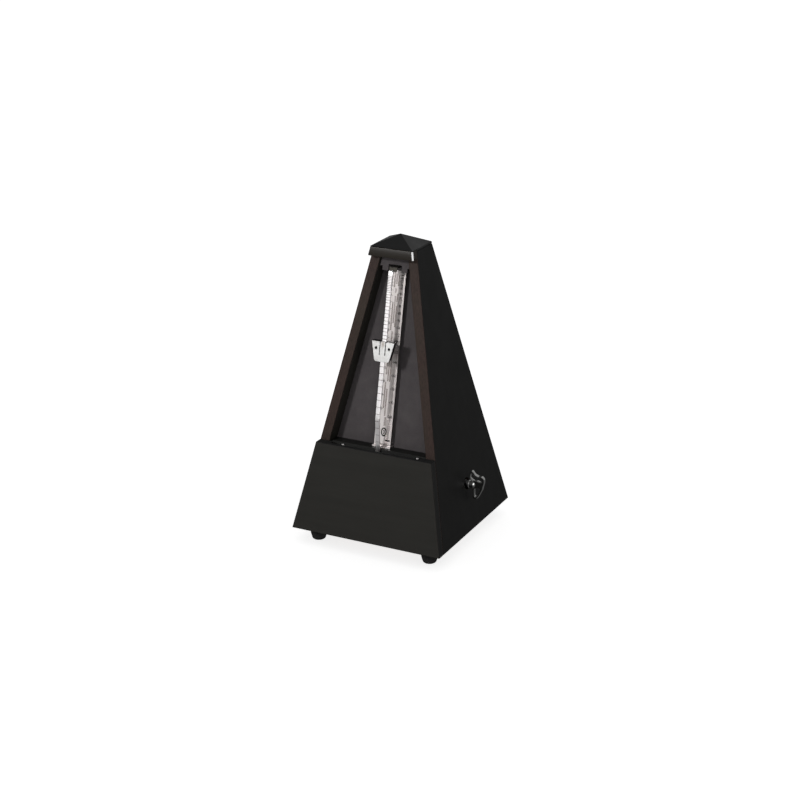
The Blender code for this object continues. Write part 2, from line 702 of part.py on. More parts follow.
def build_train(root):
    pivot = (0.0, CENTRE_Y, CENTRE_Z)
    axis = empty("centre_axis", pivot, root)
    pinion = add("centre_pinion", turned(arbor_profile(25.3), "X", pivot, 12), "steel", pivot, axis)
    phase = math.atan2(KEY_Z - CENTRE_Z, KEY_Y - CENTRE_Y) + math.pi / CENTRE_LEAVES
    leaves = gear_outline(CENTRE_Y, CENTRE_Z, CENTRE_LEAVES, BARREL_MODULE, phase, 0.85, 1.2, 0.38)
    boolean(pinion, across(leaves, [], 6.4, 10.4), "UNION", "leaves")

    phase = math.atan2(ESCAPE_Z - CENTRE_Z, ESCAPE_Y - CENTRE_Y)
    teeth = gear_outline(CENTRE_Y, CENTRE_Z, CENTRE_TEETH, CENTRE_MODULE, phase)
    bore = [circle(CENTRE_Y, CENTRE_Z, 1.8, 16)]
    add("centre_wheel", across(teeth, bore, -18.2, -16.8), "brass", pivot, axis)

    pivot = (0.0, ESCAPE_Y, ESCAPE_Z)
    axis = empty("escape_axis", pivot, root)
    pinion = add("escape_pinion", turned(arbor_profile(-5.4), "X", pivot, 12), "steel", pivot, axis)
    phase = math.atan2(CENTRE_Z - ESCAPE_Z, CENTRE_Y - ESCAPE_Y) + math.pi / ESCAPE_LEAVES
    leaves = gear_outline(ESCAPE_Y, ESCAPE_Z, ESCAPE_LEAVES, CENTRE_MODULE, phase, 0.85, 1.2, 0.38)
    boolean(pinion, across(leaves, [], -19.4, -15.6), "UNION", "leaves")
    add("escape_wheel", crown_wheel(), "brass", pivot, axis)


def crown_wheel():
    """A cup whose rim is cut into slanting teeth that face the verge staff."""
    inner, outer, floor, root_x, tip_x, back = 8.1, CROWN_R, -8.2, -5.9, -4.0, -9.4
    bore, per_tooth = 1.3, 3
    count = CROWN_TEETH * per_tooth
    rim_x = [root_x, tip_x, tip_x + (root_x - tip_x) * 0.45]
    rings = []
    layout = [(back, bore), (back, outer), (None, outer), (None, inner), (floor, inner), (floor, bore)]
    for x, radius in layout:
        ring = []
        for i in range(count):
            a = 2 * math.pi * (i - (0.12 if i % per_tooth == 0 else 0)) / count
            run = x if x is not None else rim_x[(i + 1) % per_tooth]
            ring.append((run, ESCAPE_Y + radius * math.cos(a), ESCAPE_Z + radius * math.sin(a)))
        rings.append(ring)
    points = [p for ring in rings for p in ring]
    faces = []
    for k in range(len(rings)):
        a, b = k * count, ((k + 1) % len(rings)) * count
        for i in range(count):
            j = (i + 1) % count
            faces += [(a + i, a + j, b + j), (a + i, b + j, b + i)]
    return solid(points, faces)


def build_click(root):
    x0, x1 = RATCHET_X[0], RATCHET_X[1] - 0.2
    pivot = (0.0, CLICK_Y, CLICK_Z)
    click = across(click_outline(), [circle(CLICK_Y, CLICK_Z, STUD_HOLE_R, 12)], x0, x1)
    add("click", click, "steel", pivot, root)
    screw = [(23.9, 0.0), (23.9, 1.2), (28.2, 1.2), (28.2, CLICK_R), (29.3, CLICK_R - 0.3), (29.5, 0.0)]
    add("click_screw", turned(screw, "X", pivot, 12), "steel", parent=root)
    leaf = band([(76.5, 51.0), (75.0, 42.0), (72.6, 37.5), (69.8, 35.2)], 0.2)
    spring = add("click_spring", across(leaf, [], PLATE_X[1] + GAP, x1 - 0.4), "steel", parent=root)
    heel = across(box_points(74.0, 80.0, 50.0, 54.0), [], PLATE_X[1] + GAP, x1 - 0.4)
    boolean(spring, heel, "UNION", "heel")


def click_outline():
    """A round boss on the stud with a blunt nose that stands just clear of the ratchet's tips."""
    reach = RATCHET_R + 0.8
    nose_y = KEY_Y + reach * math.cos(CLICK_BEARING)
    nose_z = KEY_Z + reach * math.sin(CLICK_BEARING)
    toward = math.atan2(nose_z - CLICK_Z, nose_y - CLICK_Y)
    side_y, side_z = -math.sin(toward), math.cos(toward)
    boss = [toward + math.radians(35.0 + 290.0 * i / 11) for i in range(12)]
    outline = [(CLICK_Y + CLICK_R * math.cos(a), CLICK_Z + CLICK_R * math.sin(a)) for a in boss]
    outline += [(nose_y + side_y * t, nose_z + side_z * t) for t in (-0.35, 0.5)]
    return outline


def build_key(root):
    pivot = (0.0, KEY_Y, KEY_Z)
    axis = empty("key_axis", pivot, root)
    panel = half_x(KEY_Z)
    arbor = [(-25.3, 0.0), (-25.3, 1.6), (-23.6, 1.6), (-23.4, 2.2), (23.0, 2.2), (23.4, 2.6)]
    arbor += [(panel - 1.0, 2.6), (panel - 0.8, 1.5), (panel + 4.5, 1.5), (panel + 5.0, 1.1)]
    arbor.append((panel + 5.0, 0.0))
    add("winding_arbor", turned(arbor, "X", pivot, 16), "steel", pivot, axis)
    teeth = ratchet_outline(KEY_Y, KEY_Z, RATCHET_TEETH, RATCHET_R - 1.0, RATCHET_R)
    wheel = across(teeth, [circle(KEY_Y, KEY_Z, 2.9, 24)], *RATCHET_X)
    add("ratchet_wheel", wheel, "steel", pivot, axis)

    stem = [(5.3, 0.0), (5.3, 1.8), (-0.5, 1.8), (-0.5, 2.4), (1.0, 2.4), (1.3, 2.9), (2.1, 2.9)]
    stem += [(2.5, 2.4), (5.4, 2.3), (6.1, 1.8), (6.7, 1.0), (7.0, 0.0)]
    stem = [(panel + x, r) for x, r in stem]
    key = add("winding_key", turned(stem, "X", pivot, 24), "chrome", pivot, axis)
    boolean(key, key_bow(panel), "UNION", "bow")


def smooth_loop(points, steps=3):
    """A closed curve through the points, with the given number of segments between neighbours."""
    curve = []
    for i in range(len(points)):
        near = [points[(i + k) % len(points)] for k in (-1, 0, 1, 2)]
        for t in (s / steps for s in range(steps)):
            weights = (2 * t**2 - t**3 - t, 3 * t**3 - 5 * t**2 + 2, t + 4 * t**2 - 3 * t**3, t**3 - t**2)
            curve.append(tuple(sum(w * p[k] for w, p in zip(weights, near)) / 2 for k in (0, 1)))
    return curve


def key_bow(panel):
    """A pierced plate, as (outward, up) loops: a broad upper wing and a tapering lower one."""
    upper = [(6.0, 1.4), (4.6, 3.0), (2.0, 4.4), (2.4, 7.4), (3.8, 10.5), (4.9, 11.5), (6.0, 10.7)]
    upper += [(7.4, 8.8), (9.8, 7.8), (12.0, 7.9), (13.4, 7.0), (KEY_REACH, 5.0), (13.7, 2.4), (12.9, 0.0)]
    lower = [(12.4, -2.2), (10.9, -5.4), (8.9, -9.0), (6.9, -11.1), (5.2, -11.2), (4.2, -9.6), (4.6, -6.4)]
    lower += [(4.4, -3.6), (6.0, -1.6)]
    upper_hole = [(3.7, 5.4), (3.9, 7.6), (4.8, 9.4), (5.7, 8.2), (7.4, 6.8), (10.0, 6.1), (12.0, 5.8)]
    upper_hole += [(12.4, 4.4), (11.2, 3.4), (8.2, 3.8), (5.4, 3.9)]
    lower_hole = [(6.3, -3.2), (6.0, -6.0), (6.0, -8.8), (7.0, -8.6), (8.4, -6.4), (9.9, -3.8), (10.4, -2.2)]
    lower_hole.append((8.4, -1.7))
    half_t = 1.0

    def place(side):
        def at(x, h):
            y = KEY_Y - h * math.sin(KEY_TILT) + side * half_t * math.cos(KEY_TILT)
            return (panel + x, y, KEY_Z + h * math.cos(KEY_TILT) + side * half_t * math.sin(KEY_TILT))

        return at

    holes = [smooth_loop(upper_hole), smooth_loop(lower_hole)]
    return soften(prism(smooth_loop(upper + lower), holes, place(-1), place(1)), 0.5, 2)


def build():
    for obj in list(bpy.data.objects):
        bpy.data.objects.remove(obj, do_unlink=True)
    root = empty("metronome", (0.0, WIDTH / 2, -FOOT_H))
    build_case(root)
    build_feet(root)
    swing = build_pendulum(root)
    build_weight(swing)
    build_frame(root)
    build_barrel(root)
    build_train(root)
    build_click(root)
    build_key(root)
    bpy.context.view_layer.update()


build()
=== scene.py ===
"""Looks of the pyramid metronome: finishes, printed tempo scale, engraved rod, studio and camera.

Lengths are millimetres in the case's own axes, as in the part's design: x right from the case's middle, depth
behind the sloping front, z up from the case's underside. case_point() turns them into metres in the frame.
Places and sizes in the studio are metres in the frame.
"""

import json
import math

import bmesh
import bpy
from mathutils import Euler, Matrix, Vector

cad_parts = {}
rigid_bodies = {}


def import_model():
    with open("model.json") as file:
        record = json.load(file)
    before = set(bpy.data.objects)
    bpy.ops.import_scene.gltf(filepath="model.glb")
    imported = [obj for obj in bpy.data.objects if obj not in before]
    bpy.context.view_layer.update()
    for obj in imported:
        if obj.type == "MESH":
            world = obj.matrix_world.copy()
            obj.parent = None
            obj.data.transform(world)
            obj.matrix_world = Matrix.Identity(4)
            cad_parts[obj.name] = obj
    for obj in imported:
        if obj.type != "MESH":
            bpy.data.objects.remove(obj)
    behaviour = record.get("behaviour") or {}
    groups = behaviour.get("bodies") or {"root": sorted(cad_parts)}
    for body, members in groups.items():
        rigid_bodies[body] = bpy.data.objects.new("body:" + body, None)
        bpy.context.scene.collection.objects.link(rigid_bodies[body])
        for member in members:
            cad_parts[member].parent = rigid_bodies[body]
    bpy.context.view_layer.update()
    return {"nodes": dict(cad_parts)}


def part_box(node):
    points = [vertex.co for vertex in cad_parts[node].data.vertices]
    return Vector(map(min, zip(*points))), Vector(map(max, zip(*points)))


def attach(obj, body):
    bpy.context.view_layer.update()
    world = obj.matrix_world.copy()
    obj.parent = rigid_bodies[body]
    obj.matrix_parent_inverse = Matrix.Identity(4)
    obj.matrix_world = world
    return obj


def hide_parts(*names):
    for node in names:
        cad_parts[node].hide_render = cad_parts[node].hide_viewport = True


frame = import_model()

# Case; the leans are what a face moves inwards for each unit of height
MM = 0.001
WIDTH = 115.0
FRONT_LEAN = 0.2162
SIDE_LEAN = 0.2086
SIDE_T = 7.2
LEDGE_Z = 61.4

# The case's place in the frame, in metres
MID_X = (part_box("left_panel")[0].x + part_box("right_panel")[1].x) / 2
FRONT_Y = -WIDTH / 2 * MM
UNDERSIDE_Z = 0.0105

# Top fascia: easing is the distance from an end and the inset there; the rubbed strips stand proud of the
# chamfers, with their root at a share of the chamfer's width
FASCIA_T = 6.2
FASCIA_CHAMFER = 0.95
FASCIA_EASING = ((0.0, 0.35), (0.105, 0.105), (0.35, 0.0))
RUBBED_PROUD = 0.03
RUBBED_ROOT = 0.75

# Glue lines: lowest and highest z, least and greatest depth, and both insets from the case's outer sides
BOARD_JOINT = (0.3, 61.7, 6.1, 6.6, 5.5, 0.4)
DIAL_JOINT = (57.3, 189.7, 18.2, 20.8, SIDE_T + 0.4, SIDE_T - 0.1)
BACK_JOINT = (0.3, 197.0, 0.5, 5.8, SIDE_T + 0.4, SIDE_T - 0.1)

# Pendulum
GRAVITY = 9.81
PIVOT_Z = 50.0
PIVOT_Y = 21.26
READING_DROP = 6.6  # from the weight's top edge to its centre
TEMPO_TERM = 1.31358  # pull of the bob against the weight, m2/s2
TEMPO_INERTIA = 0.008263  # inertia of the pendulum per unit of the weight's mass, m2

# Pendulum rod: notches and tip as rise, cut from each edge and depth of the engraving
ROD_D = 3.1
ROD_HALF = 1.55
ROD_T = 1.0
ROD_EDGE = 0.12
BEND_Z = (PIVOT_Y - ROD_D) / FRONT_LEAN
NOTCH_PROFILE = ((-0.35, 0.0, 0.0), (-0.16, 0.19, 0.0), (-0.1, 0.25, 0.16), (0.0, 0.35, 0.2),
                 (0.1, 0.25, 0.16), (0.16, 0.19, 0.0), (0.35, 0.0, 0.0))
TIP_PROFILE = ((-0.8, 0.0, 0.0), (-0.25, 0.35, 0.0), (0.0, 0.75, 0.1))
NOTCH_CLEARANCE = 1.0
LEDGE_CLEARANCE = 2.0
MARK_HALF = 0.16
MARK_INSET = 0.3
MARK_SUNK = 0.14

# Tempo scale and its print; sizes of bars are width and height
SCALE_D = 14.0
SCALE_HALF = 6.3
SCALE_FOLD_Z = 63.2
PRINT_LIFT = 0.04
PRINT_X = 0.4
NUMERAL_X = 4.1
NUMERAL_SIZE = 2.7
NUMERAL_NARROWING = 0.76
NUMERAL_BOLDNESS = 0.05
TICK_X = 2.45
TICK = (0.9, 0.2)
COLUMN_X = -0.4
COLUMN_PITCH = 1.5
RANGE_MARGIN = 0.4
RANGE_STEM = 0.3
RANGE_SERIF = (0.7, 0.22)
WORD_X = 0.55
WORD = (0.55, 0.5)
WORD_PITCH = 0.8
FOOT_WORD = (0.5, 0.4)
FOOT_WORD_X = -0.1
FOOT_PRINT_X = 0.5
FOOT_PRINT_Z = 76.2
FOOT_ROWS = 8
# Painted shade at the scale's fold, at SCALE_FOLD_Z: two brown lines, their width and height, and their
# spacing
FOLD_SHADE_BAR = (2 * SCALE_HALF - 2.6, 0.22)
FOLD_SHADE_PITCH = 0.45

# Ranges that the scale brackets: first and last tempo, and column
TEMPO_RANGES = ((40, 60, 0), (60, 66, 1), (66, 76, 2), (76, 108, 0), (108, 120, 1), (120, 168, 2),
                (168, 200, 0), (44, 58, 2), (80, 104, 2), (126, 160, 0), (176, 208, 1), (42, 56, 1),
                (69, 100, 1), (132, 168, 1))

# Browner, darker patch at the root of the weight's spring tongue: how far below the top edge, and its reach
# in x, y and z
TONGUE_ROOT_DROP = 1.5
TONGUE_PATCH_REACH = (1.9, 4.0, 4.5)

# Oval rings at the foot of the scale: half width, half height and the hole's share of both
RING_Z = 71.8
RINGS = ((2.2, 3.1, 0.62), (0.8, 1.5, 0.4))
RING_SIDES = 32

# Edges that turn less than this are shaded smooth
SMOOTH_ANGLE = math.radians(35.0)

# What the noise textures' values mostly lie between
NOISE_RANGE = (0.3, 0.7)

# Grain of the wood, in units per metre along x, y and z
GRAIN_ACROSS = (14, 200, 200)
GRAIN_UP = (200, 200, 14)
GRAIN_FINE = (30, 260, 260)

# Colours, linear
# BLACK is also painted as shade on the boards' upper edges and top faces
BLACK = (0.0040, 0.0040, 0.0038)
OLIVE_BLACKS = ((0.0066, 0.0061, 0.0046), (0.0088, 0.0082, 0.0064))
SIDE_BLACKS = ((0.0038, 0.0038, 0.0036), (0.0052, 0.0052, 0.0050))
EDGE_BROWNS = ((0.014, 0.0078, 0.0062), (0.030, 0.0175, 0.0145))
EDGE_PATCH = (0.021, 0.0165, 0.0115)
INNER_OLIVE = (0.0125, 0.0118, 0.0098)
CHARCOALS = ((0.0365, 0.0315, 0.0333), (0.0460, 0.0405, 0.0414))
WOODS = ((0.045, 0.028, 0.018), (0.085, 0.052, 0.032))
RUBBERS = ((0.005, 0.005, 0.005), (0.012, 0.0115, 0.011))
CHROME = (0.62, 0.62, 0.61)
SCALE_METALS = ((0.70, 0.66, 0.65), (0.60, 0.56, 0.55))
SCALE_UPPER_TONE = (0.53, 0.495, 0.485)
SILVERS = ((0.74, 0.74, 0.73), (0.64, 0.63, 0.62))
TONGUE_PATCH_BROWN = (0.33, 0.275, 0.235)
STAGE_WHITES = ((0.88, 0.88, 0.88), (0.92, 0.92, 0.92))
WHITE = (1.0, 1.0, 1.0, 1.0)

# Lacquers: grain, darker and lighter colour, roughness and specular level
LACQUERS = {
    "fascia_lacquer": (GRAIN_ACROSS, (0.0095, 0.0072, 0.0050), (0.0120, 0.0092, 0.0066), 0.4, 0.2),
    "rubbed_lacquer": (GRAIN_ACROSS, (0.0078, 0.0073, 0.0058), (0.01, 0.0094, 0.0076), 0.14, 1.0),
    "shelf_lacquer": (GRAIN_ACROSS, (0.006, 0.006, 0.0055), (0.009, 0.009, 0.008), 0.5, 0.2),
    "roof_lacquer": (GRAIN_FINE, (0.0040, 0.0042, 0.0042), (0.0062, 0.0065, 0.0066), 0.42, 0.27),
}

# Brushed metals: colour, tarnished colour, roughness and the axis of the scratches
METALS = {
    "dark_oxide": ((0.085, 0.085, 0.088), (0.05, 0.05, 0.05), 0.42, "X"),
    "nickel": ((0.93, 0.905, 0.905), (0.84, 0.81, 0.81), 0.34, "Z"),
    "steel": ((0.60, 0.60, 0.61), (0.45, 0.44, 0.43), 0.3, "X"),
    "spring_steel": ((0.34, 0.36, 0.42), (0.24, 0.24, 0.26), 0.28, "X"),
    "catch_metal": ((0.060, 0.057, 0.050), (0.040, 0.037, 0.032), 0.5, "Y"),
    "brass": ((0.72, 0.52, 0.22), (0.55, 0.38, 0.15), 0.3, "Y"),
}

INKS = {"dark_ink": (0.018, 0.015, 0.014), "brown_ink": (0.075, 0.050, 0.040)}

# Side lacquers: where the mask of a lighter olive inner face starts and is full, if it has one
SIDE_INNERS = {"side_lacquer": None, "left_side_lacquer": (0.5, 0.8), "right_side_lacquer": (-0.5, -0.8)}

# Which nodes take which finish, by how their names start
NODE_FINISH = {
    "board_lacquer": ("front_board", "top_fascia"),
    "shelf_lacquer": ("ledge_shelf",),
    "roof_lacquer": ("roof_cap",),
    "side_lacquer": ("back_panel",),
    "left_side_lacquer": ("left_panel",),
    "right_side_lacquer": ("right_panel",),
    "dial_paint": ("dial_panel", "top_crossbar"),
    "base_wood": ("base_board",),
    "scale_metal": ("scale_plate",),
    "nickel": ("pendulum_rod", "cover_clip"),
    "satin_silver": ("weight_face",),
    "dark_oxide": ("weight_body",),
    "steel": ("foot_screw", "mounting_screw", "verge_staff", "centre_pinion", "escape_pinion", "click",
              "winding_arbor", "ratchet_wheel"),
    "spring_steel": ("mainspring", "click_spring"),
    "catch_metal": ("rod_catch",),
    "chrome": ("winding_key",),
    "brass": ("pendulum_hub", "pendulum_bob", "movement_plate", "pillar", "verge_cock", "escape_bridge",
              "mounting_foot", "mainspring_barrel", "barrel_cap", "centre_wheel", "escape_wheel"),
    "rubber": ("foot_front", "foot_back"),
}

# Camera: angles in degrees, distances in metres, lens in millimetres
CAMERA_AZIMUTH = 27.15
CAMERA_ELEVATION = 20.63
CAMERA_ROLL = -0.29
CAMERA_DISTANCE = 1.236
CAMERA_HEIGHT = 0.09625
CAMERA_SENSOR = 36.0
CAMERA_LENS = 79.65
CAMERA_SHIFT = -0.00206
CAMERA_REACH = 50.0

# Lamps: azimuth, elevation, distance, width, height and power in watts
LAMP_TARGET_Z = 0.11
LAMPS = {
    "key": (-18.0, 30.0, 1.6, 0.14, 0.14, 15.0),
    "front_left_fill": (-26.0, -5.0, 1.8, 0.9, 1.35, 1.5),
    "front_right_fill": (45.0, 20.0, 1.6, 1.1, 0.9, 4.5),
    "back_fill": (180.0, 33.0, 1.5, 0.8, 0.5, 0.4),
    "right_strip": (63.2, 15.8, 1.6, 0.14, 0.6, 2.6),
}

# Surroundings: height on a unit sphere and strength of the light there, at each end of the gradient
SKY_FOOT = (-0.24, 0.11)
SKY_HEAD = (-0.02, 0.34)

FLOOR_REACH = 14.0
FLOOR_GLOW = 0.78
BACKDROP_RADIUS = 8.0
BACKDROP_HEIGHT = 6.0
BACKDROP_SUNK = 0.05
BACKDROP_SIDES = 48
BACKDROP_GLOW = 1.0


def level_point(x, y, z):
    """A point at y behind the foot of the front, in metres in the frame."""
    return Vector((MID_X + x * MM, FRONT_Y + y * MM, UNDERSIDE_Z + z * MM))


def case_point(x, depth, z):
    """A point at a depth behind the sloping front."""
    return level_point(x, FRONT_LEAN * z + depth, z)


def back_point(x, depth, z):
    """A point at a depth in front of the sloping back."""
    return level_point(x, WIDTH - FRONT_LEAN * z - depth, z)


def case_z(height):
    """A height in the frame, as one above the case's underside."""
    return (height - UNDERSIDE_Z) / MM


def half_width(z):
    """Half the case's width at a height."""
    return WIDTH / 2 - SIDE_LEAN * z


# Shader nodes


def node(tree, kind, inputs=(), **settings):
    """Adds a shader node; each input is a value or another node's output."""
    made = tree.nodes.new(kind)
    for name, value in settings.items():
        setattr(made, name, value)
    for name, value in dict(inputs).items():
        if isinstance(value, bpy.types.NodeSocket):
            tree.links.new(value, made.inputs[name])
        else:
            made.inputs[name].default_value = value
    return made


def base_material(name, colour, roughness, metallic=0.0, specular=0.5):
    mat = bpy.data.materials.new(name)
    mat.use_nodes = True
    shader = mat.node_tree.nodes["Principled BSDF"]
    shader.inputs["Base Color"].default_value = (*colour, 1.0)
    shader.inputs["Roughness"].default_value = roughness
    shader.inputs["Metallic"].default_value = metallic
    shader.inputs["Specular IOR Level"].default_value = specular
    return mat, mat.node_tree, shader


def stretched(tree, scale):
    """Coordinates that stay with the object, in units of 1/scale metres along each axis."""
    place = node(tree, "ShaderNodeTexCoord").outputs["Object"]
    return node(tree, "ShaderNodeMapping", {"Vector": place, "Scale": scale}).outputs["Vector"]


def noise(tree, scale, detail=4.0, roughness=0.55):
    inputs = {"Vector": stretched(tree, scale), "Scale": 1.0, "Detail": detail, "Roughness": roughness}
    return node(tree, "ShaderNodeTexNoise", inputs).outputs["Fac"]


def spread(tree, value, low, high, out_low, out_high):
    """Maps the range low to high onto out_low to out_high, and holds the ends."""
    inputs = {"Value": value, "From Min": low, "From Max": high, "To Min": out_low, "To Max": out_high}
    return node(tree, "ShaderNodeMapRange", inputs).outputs["Result"]


def blend_colours(tree, factor, first, second):
    """Mixes two colours; each is a value or a node's output."""
    mixer = node(tree, "ShaderNodeMix", data_type="RGBA")
    tree.links.new(factor, mixer.inputs["Factor"])
    for socket, value in (("A", first), ("B", second)):
        target = [s for s in mixer.inputs if s.name == socket and s.type == "RGBA"][0]
        if isinstance(value, bpy.types.NodeSocket):
            tree.links.new(value, target)
        else:
            target.default_value = (*value, 1.0)
    return [s for s in mixer.outputs if s.type == "RGBA"][0]


def mottle(tree, shader, value, start, full, first, second, most=1.0):
    """Makes the base colour pass from the first colour to the second as the value goes from start to full."""
    factor = spread(tree, value, start, full, 0.0, most)
    tree.links.new(blend_colours(tree, factor, first, second), shader.inputs["Base Color"])


def vary_roughness(tree, shader, value, low, high):
    """Makes the roughness pass from low to high over the value's usual range."""
    tree.links.new(spread(tree, value, *NOISE_RANGE, low, high), shader.inputs["Roughness"])


def bump(tree, shader, height, distance):
    """Adds relief to what the shader has already; distance is in millimetres."""
    made = node(tree, "ShaderNodeBump", {"Height": height, "Distance": distance * MM, "Strength": 1.0})
    if shader.inputs["Normal"].is_linked:
        tree.links.new(shader.inputs["Normal"].links[0].from_socket, made.inputs["Normal"])
    tree.links.new(made.outputs["Normal"], shader.inputs["Normal"])


def facing(tree, axis, start, full):
    """How far the surface faces along an axis, from 0 at start to 1 at full."""
    normal = node(tree, "ShaderNodeTexCoord").outputs["Normal"]
    parts = node(tree, "ShaderNodeSeparateXYZ", {"Vector": normal})
    return spread(tree, parts.outputs[axis], start, full, 0.0, 1.0)


def near(tree, point, scale, full, gone):
    """1 close to a point, fading to 0 at the larger distance, in units of 1/scale metres."""
    centre = [p * s for p, s in zip(point, scale)]
    inputs = {0: stretched(tree, scale), 1: centre}
    away = node(tree, "ShaderNodeVectorMath", inputs, operation="DISTANCE").outputs["Value"]
    return spread(tree, away, full, gone, 1.0, 0.0)


def recolour(tree, shader, mask, colour):
    """Blends a colour into the shader's own wherever the mask is 1."""
    own = shader.inputs["Base Color"].links[0].from_socket
    tree.links.new(blend_colours(tree, mask, own, colour), shader.inputs["Base Color"])


def dull(tree, shader, mask, roughness):
    """Blends a roughness into the shader's own wherever the mask is 1."""
    own = shader.inputs["Roughness"].links[0].from_socket
    mixed = node(tree, "ShaderNodeMix", {"Factor": mask, "A": own, "B": roughness}, data_type="FLOAT")
    tree.links.new(mixed.outputs["Result"], shader.inputs["Roughness"])


# Materials


def lacquer(name, grain, dark, light, roughness, specular):
    """Black satin lacquer over close-grained wood: faint grain, orange peel and dust-dulled patches."""
    mat, tree, shader = base_material(name, dark, roughness, specular=specular)
    lines = noise(tree, grain, 6.0, 0.65)
    mottle(tree, shader, lines, 0.35, 0.7, dark, light)
    vary_roughness(tree, shader, noise(tree, (70, 70, 70)), roughness - 0.04, roughness + 0.05)
    bump(tree, shader, lines, 0.004)
    bump(tree, shader, noise(tree, (700, 700, 700), 2.0), 0.003)
    return mat


def board_lacquer():
    """Olive black boards whose sawn ends take the black of the side panels; their upper edges and top faces
    are painted black as shade, and made rough.
    """
    mat = lacquer("board_lacquer", GRAIN_ACROSS, *OLIVE_BLACKS, 0.38, 0.22)
    tree = mat.node_tree
    shader = tree.nodes["Principled BSDF"]
    # The sawn ends get the side panels' black; the upward faces get black as painted shade, and a high
    # roughness.
    for axis, start, full in (("X", 0.5, 0.8), ("X", -0.5, -0.8), ("Z", 0.35, 0.6)):
        recolour(tree, shader, facing(tree, axis, start, full), BLACK)
    dull(tree, shader, facing(tree, "Z", 0.35, 0.6), 0.9)
    return mat


def side_lacquer(name, inner):
    """The side panels: black outside, with stained brown wood on the narrow front edges.

    inner is the facing mask's start and end for a lighter olive inner face."""
    mat = lacquer(name, GRAIN_UP, *SIDE_BLACKS, 0.42, 0.14)
    tree = mat.node_tree
    shader = tree.nodes["Principled BSDF"]
    pores = noise(tree, (1400, 1400, 40), 5.0, 0.7)
    patches = noise(tree, (60, 60, 24), 3.0)
    brown = blend_colours(tree, spread(tree, pores, 0.35, 0.65, 0.0, 1.0), *EDGE_BROWNS)
    brown = blend_colours(tree, spread(tree, patches, 0.35, 0.7, 0.0, 0.6), brown, EDGE_PATCH)
    recolour(tree, shader, facing(tree, "Y", -0.6, -0.8), brown)
    if inner:
        recolour(tree, shader, facing(tree, "X", *inner), INNER_OLIVE)
    return mat


def dial_paint():
    """Flat charcoal paint with a faint mottled nap."""
    mat, tree, shader = base_material("dial_paint", CHARCOALS[0], 0.8, specular=0.25)
    mottle(tree, shader, noise(tree, (120, 120, 120), 5.0, 0.6), *NOISE_RANGE, *CHARCOALS)
    grain = noise(tree, (1500, 1500, 1500), 3.0)
    vary_roughness(tree, shader, grain, 0.7, 0.9)
    bump(tree, shader, grain, 0.03)
    return mat


def base_wood():
    """Bare wood with its grain across the case."""
    mat, tree, shader = base_material("base_wood", WOODS[0], 0.65)
    rings = noise(tree, (22, 260, 260), 5.0, 0.7)
    mottle(tree, shader, rings, *NOISE_RANGE, *WOODS)
    vary_roughness(tree, shader, rings, 0.55, 0.75)
    bump(tree, shader, rings, 0.06)
    return mat


def brushed(name, colour, tarnished, roughness, along):
    """Metal with fine scratches along one axis, faintly tarnished in patches."""
    mat, tree, shader = base_material(name, colour, roughness, metallic=1.0)
    scale = [2600.0, 2600.0, 2600.0]
    scale["XYZ".index(along)] = 45.0
    scratches = noise(tree, scale, 3.0, 0.6)
    mottle(tree, shader, noise(tree, (90, 90, 90)), 0.35, 0.75, colour, tarnished)
    vary_roughness(tree, shader, scratches, roughness - 0.07, roughness + 0.1)
    bump(tree, shader, scratches, 0.004)
    return mat


def chrome():
    """Darkened plating with smudges."""
    mat, tree, shader = base_material("chrome", CHROME, 0.12, metallic=1.0)
    vary_roughness(tree, shader, noise(tree, (260, 260, 260), 5.0, 0.6), 0.07, 0.20)
    bump(tree, shader, noise(tree, (700, 700, 700), 2.0), 0.004)
    return mat


def rubber():
    """Moulded black rubber with dust in its pores."""
    mat, tree, shader = base_material("rubber", RUBBERS[0], 0.6, specular=0.2)
    dust = noise(tree, (500, 500, 500), 5.0, 0.7)
    mottle(tree, shader, dust, 0.4, 0.8, *RUBBERS)
    vary_roughness(tree, shader, dust, 0.5, 0.75)
    bump(tree, shader, noise(tree, (1800, 1800, 1800), 2.0), 0.02)
    return mat


def ink(name, colour):
    """Printing ink, worn paler in patches."""
    mat, tree, shader = base_material(name, colour, 0.55, specular=0.3)
    paler = [c + 0.05 for c in colour]
    mottle(tree, shader, noise(tree, (1500, 1500, 1500), 4.0, 0.7), 0.45, 0.8, colour, paler, 0.5)
    return mat


def scale_metal():
    """Brushed pinkish plate, darker from its foot up to its middle and as dark from there to the top."""
    mat = brushed("scale_metal", *SCALE_METALS, 0.40, "Z")
    tree = mat.node_tree
    low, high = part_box("scale_plate")
    place = node(tree, "ShaderNodeTexCoord").outputs["Object"]
    height = node(tree, "ShaderNodeSeparateXYZ", {"Vector": place}).outputs["Z"]
    upper_share = spread(tree, height, low.z, (low.z + high.z) / 2, 0.0, 1.0)
    recolour(tree, tree.nodes["Principled BSDF"], upper_share, SCALE_UPPER_TONE)
    return mat


def satin_silver():
    """Satin plate, browner and darker in a patchy spot at the root of the spring tongue."""
    mat = brushed("satin_silver", *SILVERS, 0.36, "X")
    tree = mat.node_tree
    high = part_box("weight_face")[1]
    root = (MID_X, high.y, high.z - TONGUE_ROOT_DROP * MM)
    root_patch = near(tree, root, [1 / (reach * MM) for reach in TONGUE_PATCH_REACH], 0.2, 1.0)
    blotch = spread(tree, noise(tree, (1800, 1800, 1800), 3.0, 0.7), 0.35, 0.6, 0.5, 1.0)
    patchy = node(tree, "ShaderNodeMath", {0: root_patch, 1: blotch}, operation="MULTIPLY").outputs["Value"]
    recolour(tree, tree.nodes["Principled BSDF"], patchy, TONGUE_PATCH_BROWN)
    return mat


